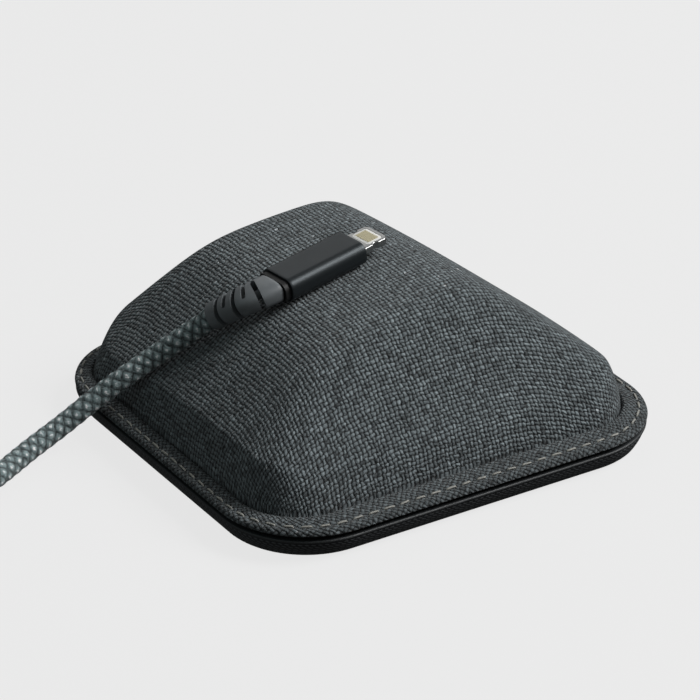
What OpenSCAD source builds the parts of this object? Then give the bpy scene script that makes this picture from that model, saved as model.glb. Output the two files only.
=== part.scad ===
// Fabric-covered weighted magnetic rest for a phone lead, with the braided lead that lies on it.
// Millimetres, +Z up. The origin is at the centre of the underside. +X runs along the front edge.

/* [Hem and base] */
// Width of the hem, left to right
hem_w = 93.2; // [80:0.2:115]
// Depth of the hem, front to back
hem_d = 89; // [76:0.5:110]
// Plan radius of the hem's corners
hem_r = 18.4; // [13:0.1:22]
// Height of the hem's underside above the surface
hem_z = 5.1; // [4.8:0.1:8]
// How far the foot of the base is drawn in from the hem
base_inset = 2; // [1:0.1:4]
// Wall of the base cover
base_wall = 0.9; // [0.6:0.1:1.5]
// Thickness of the stiff base board
board_t = 1.5; // [1:0.1:3]

/* [Mound] */
// Thickness of the woven cover
cover_t = 1.1; // [0.8:0.1:1.6]
// Hem width at the front, from edge to crease
hem_front = 6.9; // [5:0.1:9]
// Hem width at the sides, from edge to crease
hem_side = 4.6; // [3:0.1:7]
// Hem width at the back, from edge to crease
hem_back = 4; // [3:0.1:7]
// Plan radius of the crease's corners
crease_r = 12; // [8:0.5:16]
// Height of the plateau over its middle
top_z = 32.8; // [29:0.2:40]
// Rise of the plateau for each millimetre towards +X
top_tilt = 0.11; // [0:0.01:0.14]
// Slope of the left and right faces
side_slope = 0.81; // [0.7:0.01:0.95]
// Slope of the front face
front_slope = 1.17; // [0.9:0.01:1.4]
// Slope of the back face
back_slope = 2.15; // [1.6:0.05:2.6]

/* [Magnets and weight] */
// Diameter of each magnet
magnet_d = 9; // [6:0.5:10]
// Thickness of each magnet
magnet_t = 2.5; // [1.5:0.1:3]
// Pitch of the magnets along X
magnet_px = 11; // [10:0.5:14]
// Pitch of the magnets along Y
magnet_py = 14; // [11:0.5:17]
// Thickness of the steel keeper plate
keeper_t = 0.8; // [0.5:0.1:1.5]
// Foam left round the ballast plate
ballast_rim = 4.8; // [2:0.2:12]
// Thickness of the ballast plate
ballast_t = 5; // [3:0.5:7]

/* [Phone plug] */
// Length of the plug's metal shell
shell_l = 18.5; // [14:0.5:20]
// Width of the plug's metal shell
shell_w = 9.2; // [8.6:0.1:10]
// Thickness of the plug's metal shell
shell_t = 4.8; // [4.4:0.1:5.4]
// Wall of the plug's metal shell
shell_wall = 0.6; // [0.4:0.1:0.8]
// Length of the contact tab outside the shell
tab_l = 6.6; // [6:0.1:7]
// Width of the contact tab
tab_w = 6.7; // [6.5:0.1:6.8]
// Thickness of the contact tab
tab_t = 1.5; // [1.4:0.05:1.6]
// Width of the strain relief where it meets the shell
boot_w = 7.2; // [6.6:0.1:7.6]
// Thickness of the strain relief where it meets the shell
boot_t = 4.4; // [4:0.1:4.6]

/* [Lead] */
// Diameter of the braided lead
cord_d = 4.3; // [3.8:0.1:4.5]
// Radius of the outermost turn of the coil, to the middle of the lead
coil_r = 33; // [31:0.5:36]
// Thickness of the cable tie
tie_t = 0.6; // [0.4:0.1:0.8]
// Width of the cable tie
tie_w = 12; // [8:1:16]

/* [Charger plug] */
// Length of the charger plug's metal shell
usb_l = 21; // [18:0.5:26]
// Width of the charger plug's metal shell
usb_w = 15.4; // [14.6:0.1:17]
// Thickness of the charger plug's metal shell
usb_t = 7.4; // [7:0.1:9]

/* [Hidden] */
fit = 0.05;        // gap between pieces that are glued or bedded together
slip = 0.15;       // gap round a piece that drops into a pocket
arc_steps = 7;     // facets round each corner of an outline
run_steps = 12;    // facets along each side of an outline

// ---- outlines and skins ------------------------------------------------------------------------

function corner(cx, cy, r, a0) = [for (i = [0:arc_steps]) let (a = a0 + 90 * i / arc_steps)
    [cx + r * cos(a), cy + r * sin(a)]];
function run(p, q) = [for (i = [1:run_steps - 1]) p + (q - p) * i / run_steps];

// Rounded rectangle from -hx to hx and y0 to y1, anticlockwise, always with the same number of points
function outline(hx, y0, y1, r) = let (
        ne = corner(hx - r, y1 - r, r, 0),
        nw = corner(-hx + r, y1 - r, r, 90),
        sw = corner(-hx + r, y0 + r, r, 180),
        se = corner(hx - r, y0 + r, r, 270))
    concat(ne, run(ne[arc_steps], nw[0]), nw, run(nw[arc_steps], sw[0]),
           sw, run(sw[arc_steps], se[0]), se, run(se[arc_steps], ne[0]));
function hem_outline(inset) = outline(hem_w / 2 - inset, -hem_d / 2 + inset, hem_d / 2 - inset, hem_r - inset);
function crease_outline(inset) = outline(hem_w / 2 - hem_side - inset, crease_y0 + inset, crease_y1 - inset,
                                         crease_r - inset);
function between(a, b, u) = [for (i = [0:len(a) - 1]) a[i] * (1 - u) + b[i] * u];
function lift(pts, z) = [for (p = pts) [p[0], p[1], z]];

// Closed solid through a list of equal rings. With two poles it is capped, and without it is a ring.
module skin(rings, poles = []) {
    n = len(rings[0]);
    m = len(rings);
    flat = [for (r = rings) each r];
    last = len(poles) == 2 ? m - 2 : m - 1;
    sides = [for (i = [0:last], j = [0:n - 1]) let (
            a = i * n + j,
            b = i * n + (j + 1) % n,
            c = ((i + 1) % m) * n + (j + 1) % n,
            d = ((i + 1) % m) * n + j)
        each [[a, b, c], [a, c, d]]];
    caps = len(poles) < 2 ? [] : [for (j = [0:n - 1]) let (k = (j + 1) % n)
        each [[m * n, k, j], [m * n + 1, (m - 1) * n + j, (m - 1) * n + k]]];
    polyhedron(points = concat(flat, poles), faces = concat(sides, caps), convexity = 6);
}

// ---- the mound's surface -----------------------------------------------------------------------

crease_y0 = -hem_d / 2 + hem_front;
crease_y1 = hem_d / 2 - hem_back;
crease_x = hem_w / 2 - hem_side;
crease_z = hem_z + 0.4;      // bottom of the groove between hem and mound
mound_mid = [0, (crease_y0 + crease_y1) / 2];
shoulder = 3;                // width of the steep roll above the crease
side_start = hem_z + 5.1;    // height of each face where it starts, over the crease line
front_start = hem_z + 3;
back_start = hem_z + 7.65;
bulge = 1.8;                 // extra height of the faces over their middles
blend = 2.1;                 // rounding between the faces and the plateau
crown = 0.6;                 // fall of the plateau 20 mm from its middle
cover_s = [0.08, 0.18, 0.28, 0.38, 0.47, 0.56, 0.64, 0.72, 0.79, 0.85, 0.9, 0.935, 0.962, 0.982, 0.993];

function soft_min(a, b, c, d, k) = let (m = min(a, b, c, d))
    m - k * ln(exp((m - a) / k) + exp((m - b) / k) + exp((m - c) / k) + exp((m - d) / k));
// Depth of a point inside the crease line
function inside(x, y) = let (
        qx = abs(x) - (crease_x - crease_r),
        qy = abs(y - mound_mid[1]) - ((crease_y1 - crease_y0) / 2 - crease_r))
    crease_r - min(max(qx, qy), 0) - norm([max(qx, 0), max(qy, 0)]);
function roof_z(x, y) = soft_min(
    top_z - crown * (pow(x / 20, 2) + pow((y - 10) / 24, 2)) + top_tilt * x,
    side_start + bulge * cos(2.25 * (y + 2)) - 0.05 * y + side_slope * (crease_x - abs(x)),
    front_start + bulge * cos(2.14 * x) + front_slope * (y - crease_y0),
    back_start + back_slope * (crease_y1 - y), blend);
function mound_z(x, y) = let (t = max(0, 1 - max(0, inside(x, y)) / shoulder))
    crease_z + (roof_z(x, y) - crease_z) * pow(1 - pow(t, 1.6), 1 / 1.6);
function mound_ring(line, s) = [for (p = line) mound_mid + (p - mound_mid) * s];
function cover_ring(s) = [for (p = mound_ring(crease_outline(0), s)) [p[0], p[1], mound_z(p[0], p[1])]];
// The cover's inner face, which is also the top of the foam
function lining_ring(s, gap) = let (
        outer = mound_ring(crease_outline(0), s),
        inner = mound_ring(crease_outline(cover_t + gap), s))
    [for (i = [0:len(outer) - 1])
        [inner[i][0], inner[i][1], max(hem_z + 0.3, mound_z(outer[i][0], outer[i][1]) - cover_t - gap)]];
function backwards(list) = [for (i = [len(list) - 1:-1:0]) list[i]];

// Hem profile: share of the way from the crease to the edge, and height over the hem's underside
hem_profile = [[0.06, 0.95], [0.16, 1.3], [0.5, 1.15], [0.8, 0.9], [0.95, 0.55], [1, 0.25], [0.985, 0.02]];

module top_cover() color("#46525a") {
    crease = crease_outline(0);
    edge = hem_outline(0);
    skin(concat(
        [for (s = cover_s) cover_ring(s)],
        [lift(crease, crease_z)],
        [for (h = hem_profile) lift(between(crease, edge, h[0]), hem_z + h[1])],
        [lift(crease_outline(cover_t), hem_z)],
        [for (s = backwards(cover_s)) lining_ring(s, 0)]),
        [[mound_mid[0], mound_mid[1], mound_z(mound_mid[0], mound_mid[1])],
         [mound_mid[0], mound_mid[1], mound_z(mound_mid[0], mound_mid[1]) - cover_t]]);
}

// ---- topstitch ---------------------------------------------------------------------------------

stitch_pitch = 3.45;
stitch_len = 2.4;
stitch_r = 0.27;
stitch_u = 0.66;             // where the stitch line runs across the hem
stitch_line = between(crease_outline(0), hem_outline(0), stitch_u);
stitch_z = hem_z + 1.12 + stitch_r;
function run_len(pts, i) = norm(pts[(i + 1) % len(pts)] - pts[i]);
function lengths_to(pts, i = 0, so_far = 0) = i >= len(pts) ? [so_far]
    : concat([so_far], lengths_to(pts, i + 1, so_far + run_len(pts, i)));
function place_on(pts, marks, s, i = 0) = s < marks[i + 1] || i == len(pts) - 1
    ? let (p = pts[i], q = pts[(i + 1) % len(pts)], u = (s - marks[i]) / (marks[i + 1] - marks[i]))
        [p + (q - p) * u, atan2(q[1] - p[1], q[0] - p[0])]
    : place_on(pts, marks, s, i + 1);

module hem_topstitch() color("#9aa3a8") {
    marks = lengths_to(stitch_line);
    total = marks[len(marks) - 1];
    count = round(total / stitch_pitch);
    for (i = [0:count - 1]) {
        spot = place_on(stitch_line, marks, (i + 0.5) * total / count);
        translate([spot[0][0], spot[0][1], stitch_z]) rotate([0, 0, spot[1]]) rotate([0, 90, 0])
            cylinder(h = stitch_len, r = stitch_r, center = true, $fn = 16);
    }
}

// ---- rim and base ------------------------------------------------------------------------------

binding_t = 0.9;             // height of the recessed strip under the hem
welt_t = 0.65;               // thickness of the welt
welt_z = hem_z - binding_t - 2 * fit - welt_t;
foot_fillet = 0.5;

// Flat ring between the foam and an outline drawn in from the hem
module rim_ring(inset, z0, z1, soft) skin([
    lift(crease_outline(cover_t - fit), z0),
    lift(crease_outline(cover_t - fit), z1),
    lift(hem_outline(inset + soft), z1),
    lift(hem_outline(inset), z1 - soft),
    lift(hem_outline(inset), z0 + soft),
    lift(hem_outline(inset + soft), z0)]);

module rim_binding() color("#101213") rim_ring(1.2, hem_z - fit - binding_t, hem_z - fit, 0.1);
module rim_welt() color("#3a3e41") rim_ring(0.15, welt_z, welt_z + welt_t, 0.2);

cup_top = welt_z - fit;
function cup_inset(z) = 0.45 + (base_inset - 0.45) * pow(1 - z / cup_top, 1.5);
cup_levels = [0, 0.25, 0.5, 0.75, 1];
floor_inset = base_inset + base_wall;

// Shallow textured cup that wraps the underside and the lower edge
module base_cover() color("#17191b") skin(concat(
        [for (u = cup_levels) let (z = base_wall + u * (cup_top - base_wall))
            lift(hem_outline(cup_inset(z) + base_wall), z)],
        [for (u = backwards(cup_levels)) let (z = foot_fillet + u * (cup_top - foot_fillet))
            lift(hem_outline(cup_inset(z)), z)],
        [lift(hem_outline(base_inset + foot_fillet / 2), foot_fillet / 4),
         lift(hem_outline(base_inset + foot_fillet), 0)]),
    [[0, 0, base_wall], [0, 0, 0]]);

board_top = base_wall + fit + board_t;
module base_board() color("#3b3c3e") {
    line = hem_outline(floor_inset + slip);
    skin([lift(line, board_top), lift(line, base_wall + fit)], [[0, 0, board_top], [0, 0, base_wall + fit]]);
}

// ---- filling, weight and magnets ---------------------------------------------------------------

tray_rim = 1.2;              // plastic left outside the outer magnets
tray_floor = 1;              // plastic between the magnets and the keeper
tray_w = 2 * magnet_px + magnet_d + 2 * tray_rim;
tray_d = magnet_py + magnet_d + 2 * tray_rim;
tray_t = magnet_t + tray_floor + keeper_t + 2 * fit;
tray_mid = [-1, 6];
tray_lean = 0.6 * top_tilt;
tray_foam = 0.9;             // least foam between the tray and the cover
// The tray's face is as high as its corners allow
tray_z = min([for (x = [-1, 1], y = [-1, 1]) let (p = [x * tray_w, y * tray_d] / 2)
    mound_z(tray_mid[0] + p[0], tray_mid[1] + p[1]) - cover_t - tray_foam - tray_lean * p[0]]);
keeper_w = tray_w - 2;
keeper_d = tray_d - 2;
corner_r = 3;
ballast_w = 2 * (crease_x - cover_t - ballast_rim);
ballast_d = crease_y1 - crease_y0 - 2 * (cover_t + ballast_rim);
ballast_r = 8;

// Flat plate centred on the origin, its underside at z = 0
module plate(w, d, t, r) {
    translate([-w / 2 + r, -d / 2, 0]) cube([w - 2 * r, d, t]);
    translate([-w / 2, -d / 2 + r, 0]) cube([w, d - 2 * r, t]);
    for (x = [-1, 1], y = [-1, 1]) translate([x * (w / 2 - r), y * (d / 2 - r), 0])
        cylinder(h = t, r = r, $fn = 48);
}
// The tray leans with the plateau. z = 0 is its upper face.
module tray_frame() translate([tray_mid[0], tray_mid[1], tray_z]) rotate([0, -atan(tray_lean), 0]) children();
function magnet_spot(i) = [(i % 3 - 1) * magnet_px, (floor(i / 3) - 0.5) * magnet_py];

module ballast_plate() color("#6d7276") translate([0, mound_mid[1], board_top + fit])
    plate(ballast_w, ballast_d, ballast_t, ballast_r);

module foam_core() color("#2c2f31") difference() {
    flange = hem_outline(cup_inset(board_top) + base_wall + slip);
    base = board_top + fit;
    skin(concat(
        [for (s = cover_s) lining_ring(s, slip)],
        [lift(crease_outline(cover_t + slip), hem_z + 0.1),
         lift(crease_outline(cover_t + slip), cup_top),
         lift(flange, cup_top),
         lift(flange, base)]),
        [[mound_mid[0], mound_mid[1], mound_z(mound_mid[0], mound_mid[1]) - cover_t - slip],
         [mound_mid[0], mound_mid[1], base]]);
    translate([0, mound_mid[1], base - 1]) plate(ballast_w + 2 * slip, ballast_d + 2 * slip, ballast_t + 1 + fit,
        ballast_r + slip);
    tray_frame() translate([0, 0, -tray_t - fit]) plate(tray_w + 2 * fit, tray_d + 2 * fit, tray_t + 2 * fit,
        corner_r + fit);
}

module magnet_tray() color("#d8d8d2") tray_frame() difference() {
    translate([0, 0, -tray_t]) plate(tray_w, tray_d, tray_t, corner_r);
    for (i = [0:5]) translate([magnet_spot(i)[0], magnet_spot(i)[1], -magnet_t - fit])
        cylinder(h = magnet_t + 1, d = magnet_d + 2 * fit, $fn = 64);
    translate([0, 0, -tray_t - 1]) plate(keeper_w + 2 * fit, keeper_d + 2 * fit, keeper_t + 1 + fit, corner_r - 1);
}
module keeper_plate() color("#8b9094") tray_frame() translate([0, 0, -tray_t])
    plate(keeper_w, keeper_d, keeper_t, corner_r - 1);
module magnet(i) color("#b9bdc1") tray_frame() translate([magnet_spot(i)[0], magnet_spot(i)[1], -magnet_t])
    cylinder(h = magnet_t, d = magnet_d, $fn = 64);

// ---- phone plug --------------------------------------------------------------------------------

plug_gap = 0.39;             // air under the plug where it comes nearest to the cover
plug_pitch = 7;
plug_yaw = 7.5;
plug_spot = [-8.6, 2.2];
// Highest the cover comes under the shell, counted from the plug's own tilted plane
plug_rest = max([for (s = [-1, 0, 1], t = [-1, 0, 1]) let (a = s * shell_l / 2, b = t * (shell_w - shell_t + 0.8) / 2,
        x = a * cos(plug_pitch) * cos(plug_yaw) - b * sin(plug_yaw),
        y = a * cos(plug_pitch) * sin(plug_yaw) + b * cos(plug_yaw))
    mound_z(plug_spot[0] + x, plug_spot[1] + y) - a * sin(plug_pitch)]);
plug_mid = [plug_spot[0], plug_spot[1], plug_rest + shell_t / 2 + plug_gap];
plug_axis = [cos(plug_pitch) * cos(plug_yaw), cos(plug_pitch) * sin(plug_yaw), sin(plug_pitch)];
module plug_frame() translate(plug_mid) rotate([0, -plug_pitch, plug_yaw]) children();

// Bar along X from x = 0, with its long edges rounded
module bar(l, w, t, r) {
    translate([0, -w / 2 + r, -t / 2]) cube([l, w - 2 * r, t]);
    translate([0, -w / 2, -t / 2 + r]) cube([l, w, t - 2 * r]);
    for (y = [-1, 1], z = [-1, 1]) translate([0, y * (w / 2 - r), z * (t / 2 - r)]) rotate([0, 90, 0])
        cylinder(h = l, r = r, $fn = 48);
}
shell_r = shell_t / 2 - 0.4; // radius along the shell's sides
front_wall = 0.8;
tab_in = 4;                  // length of the tab held inside the shell
board_l = 7.5;
mould_l = 4.6;
window_l = 4.1;
window_w = 5.2;
ring_l = 1.2;
nose = shell_l / 2;
board_x = nose - front_wall - fit - tab_in;

module plug_shell() color("#1d2023") plug_frame() translate([-nose, 0, 0]) difference() {
    bar(shell_l, shell_w, shell_t, shell_r);
    translate([-1, 0, 0]) bar(shell_l - front_wall + 1, shell_w - 2 * shell_wall, shell_t - 2 * shell_wall,
        shell_r - shell_wall);
    translate([shell_l - front_wall - 1, 0, 0])
        bar(front_wall + 2, tab_w + 2 * fit, tab_t + 2 * fit, tab_t / 2 - 0.1);
}
window_x = nose + tab_l - 1.1 - window_l;
module plug_tab() color("#c9ccce") plug_frame() difference() {
    translate([board_x, 0, 0]) bar(nose + tab_l - board_x, tab_w, tab_t, tab_t / 2 - 0.1);
    translate([window_x, -window_w / 2, -tab_t]) cube([window_l, window_w, 2 * tab_t]);
    for (y = [-1, 1]) translate([nose + 2.6, y * tab_w / 2, -tab_t]) cylinder(h = 2 * tab_t, r = 0.5, $fn = 24);
}
pad_t = 0.08;
module contact_block() color("#ece9e0") plug_frame()
    translate([window_x + fit, -window_w / 2 + fit, -tab_t / 2 + 0.1])
        cube([window_l - 2 * fit, window_w - 2 * fit, tab_t - 0.2]);
module plug_contacts() color("#d9b45a") plug_frame() for (i = [0:7], z = [-1, 1])
    translate([window_x + 0.6, (i - 3.5) * 0.6 - 0.19, z * (tab_t / 2 - 0.1) - (z < 0 ? pad_t : 0)])
        cube([window_l - 1.2, 0.38, pad_t]);
module plug_board() color("#1f5a3a") plug_frame() translate([board_x - fit - board_l, -2.8, -0.4])
    cube([board_l, 5.6, 0.8]);
module plug_inner_mould() color("#202224") plug_frame() translate([-nose, 0, 0])
    bar(mould_l, shell_w - 2 * shell_wall - 2 * fit, shell_t - 2 * shell_wall - 2 * fit, shell_r - shell_wall - fit);
module plug_joint_ring() color("#08090a") plug_frame() translate([-nose - fit - ring_l, 0, 0])
    bar(ring_l, shell_w - 1, shell_t - 0.8, shell_r - 0.4);

// ---- sweeps ------------------------------------------------------------------------------------

function unit(v) = v / norm(v);
function spline_point(p, i, u) = let (n = len(p) - 1,
        a = p[max(i - 1, 0)], b = p[i], c = p[min(i + 1, n)], d = p[min(i + 2, n)])
    0.5 * (2 * b + (c - a) * u + (2 * a - 5 * b + 4 * c - d) * u * u + (3 * b - a - 3 * c + d) * u * u * u);
// Smooth curve through the points, with sub steps between each two
function spline(p, sub) = concat([for (i = [0:len(p) - 2], k = [0:sub - 1]) spline_point(p, i, k / sub)],
    [p[len(p) - 1]]);
function heading(p, i) = unit(p[min(i + 1, len(p) - 1)] - p[max(i - 1, 0)]);
function side_of(t) = unit(cross([0, 0, 1], t));
// Ring round a path point: w across, t high, with exponent e for its roundness (2 is an ellipse)
function section(c, dir, w, t, e, n) = let (s = side_of(dir), v = cross(dir, s))
    [for (k = [0:n - 1]) let (a = -360 * k / n, x = cos(a), y = sin(a))
        c + s * w / 2 * sign(x) * pow(abs(x), 2 / e) + v * t / 2 * sign(y) * pow(abs(y), 2 / e)];
module tube(path, d, n) skin([for (i = [0:len(path) - 1]) section(path[i], heading(path, i), d, d, 2, n)],
    [path[0], path[len(path) - 1]]);

// Strain relief along a path: solid collars at both ends and cuts from alternate sides between them
slot_w = 0.85;
module boot(path, w0, t0, w1, t1, first, pitch, count) difference() {
    m = len(path) - 1;
    skin([for (i = [0:m]) let (u = i / m)
        section(path[i], heading(path, i), w0 + (w1 - w0) * u, t0 + (t1 - t0) * u, 3 - u, 24)], [path[0], path[m]]);
    marks = path_marks(path);
    for (k = [0:count - 1]) {
        reach = first + k * pitch;
        i = max([for (j = [0:m - 1]) if (marks[j] <= reach) j]);
        dir = unit(path[i + 1] - path[i]);
        at = path[i] + dir * (reach - marks[i]);
        side = side_of(dir) * (k % 2 == 0 ? 1 : -1);
        translate(at + side * w0 * 0.48) rotate([0, -asin(dir[2]), atan2(dir[1], dir[0])])
            cube([slot_w, w0 * 1.15, t0 * 1.6], center = true);
    }
}
function path_marks(p, i = 1, so_far = 0) = i >= len(p) ? [so_far]
    : concat([so_far], path_marks(p, i + 1, so_far + norm(p[i] - p[i - 1])));

boot_begin = plug_mid - plug_axis * (nose + ring_l + 3 * fit);
boot_route = [boot_begin - plug_axis * 0.6, [-22.6, 1.2, 32.3], [-25.4, 3.2, 30.5], [-28.6, 7.2, 27]];
boot_end_w = 5.8;
boot_end_t = 5.2;
module plug_boot() color("#141617")
    boot(concat([boot_begin], spline(boot_route, 3)), boot_w, boot_t, boot_end_w, boot_end_t, 3.3, 1.95, 5);

// ---- lead --------------------------------------------------------------------------------------

// From the strain relief down the left face, over the hem and along the surface into the coil
cord_route = [[-28.6, 7.2, 27], [-30.2, 9, 24.7], [-34.4, 11.9, 20.8], [-38.5, 14.5, 17.1], [-43.2, 16.2, 13.9],
              [-47.8, 18, 10.4], [-50.9, 18.7, 8.3], [-56.1, 19.3, 5.2], [-63.7, 17.7, 3.1], [-72.3, 13.7, 2.3],
              [-81.5, 9, 2.4], [-91.7, 4.3, 2.85]];
coil_mid = [-105.6, 34.2];
coil_z = 2 * fit + tie_t + cord_d / 2;           // height of the bottom turns
coil_inner = coil_r - 4 * cord_d;                // four turns winding inwards
coil_top = coil_z + cord_d;                      // and three turns winding out again on top of them
coil_outline = [[coil_inner - cord_d / 2, coil_z - cord_d / 2], [coil_r + cord_d / 2, coil_z - cord_d / 2],
                [coil_r + cord_d / 2, coil_z], [coil_r, coil_top + cord_d / 2],
                [coil_inner, coil_top + cord_d / 2], [coil_inner - cord_d / 2, coil_z]];
tail_route = [[-137.2, 39.2, 7.6], [-136.1, 44.1, 8.7], [-134.3, 48.8, 10.2], [-131.3, 52.7, 11.6],
              [-126.8, 54.9, 12.5], [-122.4, 55.6, 13], [-118, 55.7, 13.05]];

module lead_cord() color("#42535a") tube(spline(cord_route, 2), cord_d, 10);
module lead_tail() color("#42535a") tube(spline(tail_route, 2), cord_d, 10);
module lead_coil() color("#42535a") translate([coil_mid[0], coil_mid[1], 0])
    rotate_extrude($fn = 96) polygon(coil_outline);

// Strap round the coil's bundle of turns
tie_angle = 0;
module tie_outline(grow) {
    r0 = coil_inner - cord_d / 2 - grow;
    r1 = coil_r + cord_d / 2 + grow;
    z0 = coil_z - cord_d / 2 - grow;
    z1 = coil_top + cord_d / 2 + grow;
    polygon([[r0, z0], [r1, z0], [r1, z0 + cord_d / 2 + grow], [r1 - cord_d / 2, z1], [r0 + cord_d / 2, z1],
             [r0, z0 + cord_d / 2 + grow]]);
}
module cable_tie() color("#202326") translate([coil_mid[0], coil_mid[1], 0])
    rotate([0, 0, tie_angle]) rotate_extrude(angle = tie_w / coil_r * 57.3, $fn = 96) difference() {
        tie_outline(fit + tie_t);
        tie_outline(fit);
    }

// ---- charger plug ------------------------------------------------------------------------------

usb_boot_l = 13;
tail_end = tail_route[len(tail_route) - 1];
usb_at = [tail_end[0] + usb_boot_l + fit, tail_end[1], coil_top + cord_d / 2 + usb_t / 2 + fit]; // lies on the coil
usb_wall = 0.7;
shroud_w = 12;
shroud_t = 4.5;
shroud_l = 12;
shroud_wall = 0.35;
shroud_in = 5;               // length of the shroud held inside the shell
tongue_t = 1.9;
module usb_frame() translate(usb_at) children();

usb_boot_route = [for (i = [0:6]) [tail_end[0] + usb_boot_l * (1 - i / 6), usb_at[1], usb_at[2]]];
module usb_boot() color("#141617") boot(usb_boot_route, 9, 5.6, 6, 5.2, 3.5, 1.8, 5);
module usb_shell() color("#1d2023") usb_frame() difference() {
    bar(usb_l, usb_w, usb_t, 2.2);
    translate([-1, 0, 0]) bar(usb_l - front_wall + 1, usb_w - 2 * usb_wall, usb_t - 2 * usb_wall, 1.5);
    translate([usb_l - front_wall - 1, 0, 0]) bar(front_wall + 2, shroud_w + 2 * fit, shroud_t + 2 * fit, 0.5 + fit);
}
usb_mould_l = usb_l - front_wall - shroud_in - 2 * fit;
module usb_inner_mould() color("#202224") usb_frame()
    bar(usb_mould_l, usb_w - 2 * usb_wall - 2 * fit, usb_t - 2 * usb_wall - 2 * fit, 1.45);
module usb_shroud() color("#c9ccce") usb_frame() translate([usb_l - front_wall - shroud_in, 0, 0]) difference() {
    bar(shroud_in + front_wall + shroud_l, shroud_w, shroud_t, 0.5);
    translate([-1, 0, 0]) bar(shroud_in + front_wall + shroud_l + 2, shroud_w - 2 * shroud_wall,
        shroud_t - 2 * shroud_wall, 0.15);
    for (y = [-1, 1]) translate([shroud_in + front_wall + 5.2, y * 2.9 - 1.1, 0]) cube([2, 2.2, shroud_t]);
}
tongue_top = shroud_t / 2 - shroud_wall - fit;
tongue_w = shroud_w - 2 * shroud_wall - 2 * fit - 0.2;
module usb_tongue() color("#1a1b1d") usb_frame()
    translate([usb_l - front_wall - shroud_in, -tongue_w / 2, tongue_top - tongue_t])
        cube([shroud_in + front_wall + shroud_l - 0.4, tongue_w, tongue_t]);
module usb_contacts() color("#d9b45a") usb_frame() for (i = [0:3])
    translate([usb_l + shroud_l - 9.2, (i - 1.5) * 2.2 - 0.5, tongue_top - tongue_t - 0.12])
        cube([i % 3 == 0 ? 8 : 7, 1, 0.12]);

top_cover();
hem_topstitch();
rim_binding();
rim_welt();
base_cover();
base_board();
ballast_plate();
foam_core();
magnet_tray();
keeper_plate();
magnet(0);  // magnet_1
magnet(1);  // magnet_2
magnet(2);  // magnet_3
magnet(3);  // magnet_4
magnet(4);  // magnet_5
magnet(5);  // magnet_6
plug_shell();
plug_tab();
contact_block();
plug_contacts();
plug_board();
plug_inner_mould();
plug_joint_ring();
plug_boot();
lead_cord();
lead_coil();
cable_tie();
lead_tail();
usb_boot();
usb_inner_mould();
usb_shell();
usb_shroud();
usb_tongue();
usb_contacts();
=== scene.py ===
import math

import bpy
import bmesh
import numpy as np
from mathutils import Matrix, Vector


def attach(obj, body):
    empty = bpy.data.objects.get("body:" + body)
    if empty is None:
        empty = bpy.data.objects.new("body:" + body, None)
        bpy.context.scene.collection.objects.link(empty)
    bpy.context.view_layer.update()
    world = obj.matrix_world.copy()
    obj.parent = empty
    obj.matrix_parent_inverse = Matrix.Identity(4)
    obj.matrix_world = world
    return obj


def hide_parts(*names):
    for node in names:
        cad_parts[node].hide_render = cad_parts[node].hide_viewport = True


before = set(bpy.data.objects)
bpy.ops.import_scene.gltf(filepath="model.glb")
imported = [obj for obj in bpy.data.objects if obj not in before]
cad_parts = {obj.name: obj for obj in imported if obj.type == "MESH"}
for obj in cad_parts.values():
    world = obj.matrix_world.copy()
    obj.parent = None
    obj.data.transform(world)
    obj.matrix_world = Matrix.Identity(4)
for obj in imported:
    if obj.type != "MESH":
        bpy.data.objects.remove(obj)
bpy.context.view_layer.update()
scene = bpy.context.scene
scene.view_settings.view_transform = "Standard"
MM = 0.001


# ---- Studio ------------------------------------------------------------------------------------
# A pale floor that runs into a pale surround. One large soft light stands high on the right, with a weak cool
# fill on the left and a weak one behind. The camera looks down on the front left corner from 0.8 m away.
def linear(code):
    values = [int(code[i:i + 2], 16) / 255 for i in (1, 3, 5)]
    return [v / 12.92 if v <= 0.04045 else ((v + 0.055) / 1.055) ** 2.4 for v in values] + [1.0]


def material(name):
    made = bpy.data.materials.new(name)
    made.use_nodes = True
    made.node_tree.nodes.clear()
    return made.node_tree


def add(tree, kind, settings=None, **links):
    """One node. settings are its own properties, or just its operation. links are its sockets' values, or the
    sockets or nodes that feed them."""
    made = tree.nodes.new(kind)
    for key, value in ({"operation": settings} if isinstance(settings, str) else settings or {}).items():
        setattr(made, key, value)
    for key, value in links.items():
        key = int(key[1:]) if key[0] == "_" else key.replace("_", " ")
        if isinstance(value, bpy.types.Node):
            value = value.outputs[0]
        if isinstance(value, bpy.types.NodeSocket):
            tree.links.new(value, made.inputs[key])
        else:
            made.inputs[key].default_value = value
    return made


def shown(tree, shader):
    add(tree, "ShaderNodeOutputMaterial", _0=shader.outputs[0])
    return next(m for m in bpy.data.materials if m.node_tree == tree)


def stood(name, data):
    made = bpy.data.objects.new(name, data)
    scene.collection.objects.link(made)
    return made


def piece(name, mesh, finish):
    mesh.materials.clear()
    mesh.materials.append(finish)
    return stood(name, mesh)


tone = linear("#ebebeb")
floor_glow = 0.92            # share of the floor's tone that doesn't depend on shadows
floor_half, floor_z = 6.0, -0.0004
t = material("pale studio floor")
floor_finish = shown(t, add(t, "ShaderNodeBsdfPrincipled", Base_Color=[0.07, 0.07, 0.07, 1.0], Roughness=0.9,
                            Specular_IOR_Level=0.0, Emission_Color=[c * floor_glow for c in tone[:3]] + [1.0],
                            Emission_Strength=1.0))
floor_mesh = bpy.data.meshes.new("floor")
floor_mesh.from_pydata([(x * floor_half, y * floor_half, floor_z) for x, y in ((-1, -1), (1, -1), (1, 1), (-1, 1))],
                       [], [(0, 1, 2, 3)])
floor = piece("floor", floor_mesh, floor_finish)
floor.visible_diffuse = floor.visible_glossy = False      # it gives the object's sides no glow from below

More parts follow.
